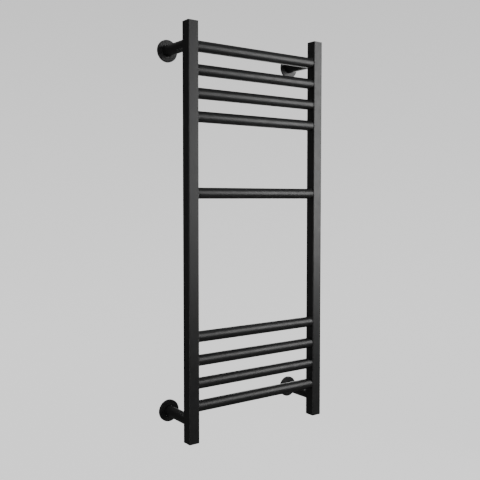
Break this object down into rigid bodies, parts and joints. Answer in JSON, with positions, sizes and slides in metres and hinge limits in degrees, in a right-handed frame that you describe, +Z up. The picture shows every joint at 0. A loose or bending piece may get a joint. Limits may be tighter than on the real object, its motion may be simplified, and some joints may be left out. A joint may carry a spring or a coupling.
{
  "type": "towel warmer rack",
  "caption": "Wall-hung electric towel warmer rack with square side posts, round horizontal bars and round wall arms with sliding covers.",
  "frame": {"origin": "middle of the rectangle of the four wall screw holes, on the wall plane", "axes": "+X to the viewer's right along the bars, +Y into the wall, +Z up along the posts"},
  "size_m": [0.532, 0.15, 1.2],
  "materials": {
    "black_coating": "satin black powder coat on steel tube",
    "cover_coating": "satin black powder coat on pressed steel",
    "steel": "turned, zinc plated",
    "stainless": "bright stainless",
    "rubber": "matte",
    "silicone_red": "smooth silicone sheath",
    "grey_plastic": "heat-shrink sleeve",
    "white_sheath": "smooth sheath",
    "ivory_plastic": "moulded",
    "brass": "turned",
    "green_yellow": "wire insulation"
  },
  "bodies": {
    "rail": {"left_post": "black_coating", "right_post": "black_coating", "bar_1": "black_coating", "bar_2": "black_coating", "bar_3": "black_coating", "bar_4": "black_coating", "bar_5": "black_coating", "bar_6": "black_coating", "bar_7": "black_coating", "bar_8": "black_coating", "bar_9": "black_coating", "left_top_cap": "black_coating", "right_top_cap": "black_coating", "left_bottom_cap": "black_coating", "right_bottom_cap": "black_coating", "upper_left_arm": "black_coating", "upper_right_arm": "black_coating", "lower_left_arm": "black_coating", "lower_right_arm": "black_coating", "upper_left_spigot": "steel", "upper_right_spigot": "steel", "lower_left_spigot": "steel", "lower_right_spigot": "steel", "upper_left_lock_screw": "stainless", "upper_right_lock_screw": "stainless", "lower_left_lock_screw": "stainless", "lower_right_lock_screw": "stainless", "heating_cable": "silicone_red", "cable_end_seal": "grey_plastic", "cable_splice": "grey_plastic", "thermal_cutout": "steel", "supply_lead": "white_sheath", "terminal_block": "ivory_plastic", "inlet_grommet": "rubber", "earth_stud": "brass", "earth_tag": "steel", "earth_nut": "brass", "earth_lead": "green_yellow"},
    "upper_left_cover": {"upper_left_cover": "cover_coating", "upper_left_ring": "rubber"},
    "upper_right_cover": {"upper_right_cover": "cover_coating", "upper_right_ring": "rubber"},
    "lower_left_cover": {"lower_left_cover": "cover_coating", "lower_left_ring": "rubber"},
    "lower_right_cover": {"lower_right_cover": "cover_coating", "lower_right_ring": "rubber"}
  },
  "joints": [
    {"name": "upper_left_cover_slide", "type": "slide", "parent": "rail", "child": "upper_left_cover", "axis": [0, -1, 0], "range_m": [0, 0.085]},
    {"name": "upper_right_cover_slide", "type": "slide", "parent": "rail", "child": "upper_right_cover", "axis": [0, -1, 0], "range_m": [0, 0.085]},
    {"name": "lower_left_cover_slide", "type": "slide", "parent": "rail", "child": "lower_left_cover", "axis": [0, -1, 0], "range_m": [0, 0.085]},
    {"name": "lower_right_cover_slide", "type": "slide", "parent": "rail", "child": "lower_right_cover", "axis": [0, -1, 0], "range_m": [0, 0.085]}
  ]
}
